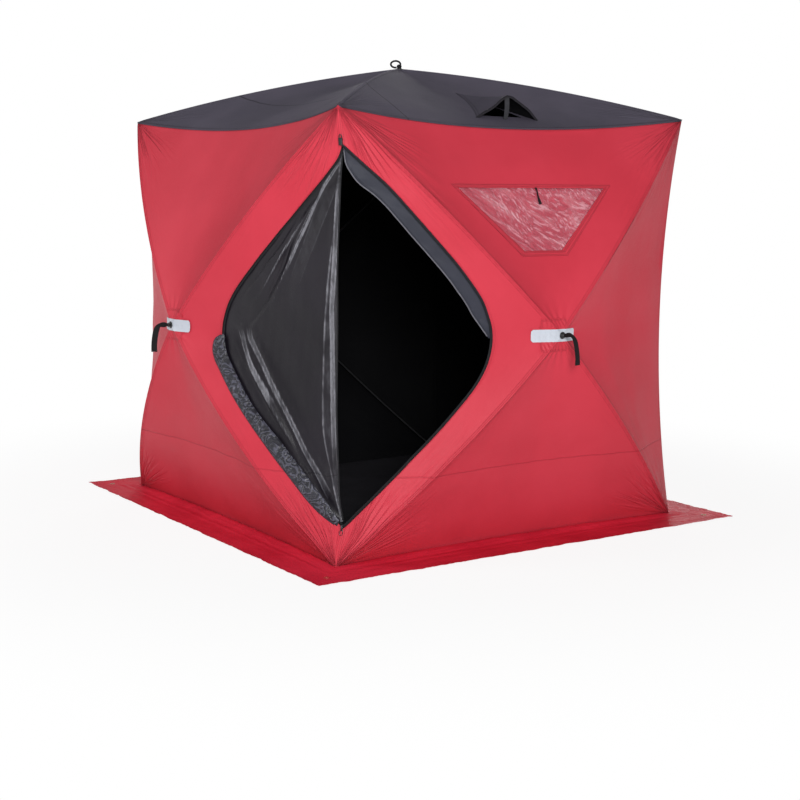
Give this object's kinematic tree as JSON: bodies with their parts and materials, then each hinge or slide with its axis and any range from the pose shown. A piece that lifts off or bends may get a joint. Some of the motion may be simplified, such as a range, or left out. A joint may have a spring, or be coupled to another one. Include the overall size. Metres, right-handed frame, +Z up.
{
  "type": "ice fishing hut",
  "caption": "Square pop-up ice fishing hut: bowed fabric walls on pole hubs, low dark roof with vents, unzipped corner door, clear window and snow skirt.",
  "frame": {"origin": "centre of the square footprint at floor level", "axes": "+Z up; -Y out of the front wall that carries the window; -X out of the plain left wall; the open corner door is at the -X -Y corner"},
  "size_m": [2.5056, 2.5056, 2.0521],
  "materials": {
    "shell_cloth": "woven oxford cloth, satin",
    "roof_cloth": "woven oxford cloth, satin",
    "skirt_cloth": "woven oxford cloth, satin",
    "floor_cloth": "coated cloth, dull",
    "frame_plastic": "moulded, matte",
    "pole_fibreglass": "smooth rod, satin",
    "reflective_tape": "reflective tape, satin",
    "black_webbing": "woven webbing, matte",
    "grey_webbing": "woven webbing, matte",
    "clear_film": "flexible clear film, glossy",
    "door_cloth": "coated cloth, satin",
    "flap_cloth": "coated cloth, satin",
    "zip_tape": "zip tape, matte",
    "zip_metal": "painted zinc, satin",
    "eyelet_brass": "plated ring, polished"
  },
  "bodies": {
    "root": {"wall_front_top": "shell_cloth", "wall_front_bottom": "shell_cloth", "wall_front_right": "shell_cloth", "wall_front_door": "shell_cloth", "wall_left_top": "shell_cloth", "wall_left_bottom": "shell_cloth", "wall_left_back": "shell_cloth", "wall_left_door": "shell_cloth", "wall_back_top": "shell_cloth", "wall_back_bottom": "shell_cloth", "wall_back_sides": "shell_cloth", "wall_right_top": "shell_cloth", "wall_right_bottom": "shell_cloth", "wall_right_sides": "shell_cloth", "roof_front": "roof_cloth", "roof_left": "roof_cloth", "roof_back": "roof_cloth", "roof_right": "roof_cloth", "skirt_front": "skirt_cloth", "skirt_left": "skirt_cloth", "skirt_back": "skirt_cloth", "skirt_right": "skirt_cloth", "floor_sheet": "floor_cloth", "wall_hubs": "frame_plastic", "roof_hub": "frame_plastic", "poles_front": "pole_fibreglass", "poles_left": "pole_fibreglass", "poles_back": "pole_fibreglass", "poles_right": "pole_fibreglass", "poles_roof": "pole_fibreglass", "corner_fittings": "frame_plastic", "hub_backings": "shell_cloth", "hub_strips": "reflective_tape", "strap_studs": "frame_plastic", "pull_straps": "black_webbing", "roof_loop": "black_webbing", "vent_hoods": "roof_cloth", "vent_props": "grey_webbing", "window_films": "clear_film", "window_covers": "shell_cloth", "window_bindings": "shell_cloth", "cover_tabs": "black_webbing", "door_panel": "door_cloth", "door_roll": "door_cloth", "door_storm_flap": "flap_cloth", "door_zips": "zip_tape", "zip_slider": "zip_metal", "door_toggle": "frame_plastic", "skirt_eyelets": "eyelet_brass"}
  },
  "joints": []
}
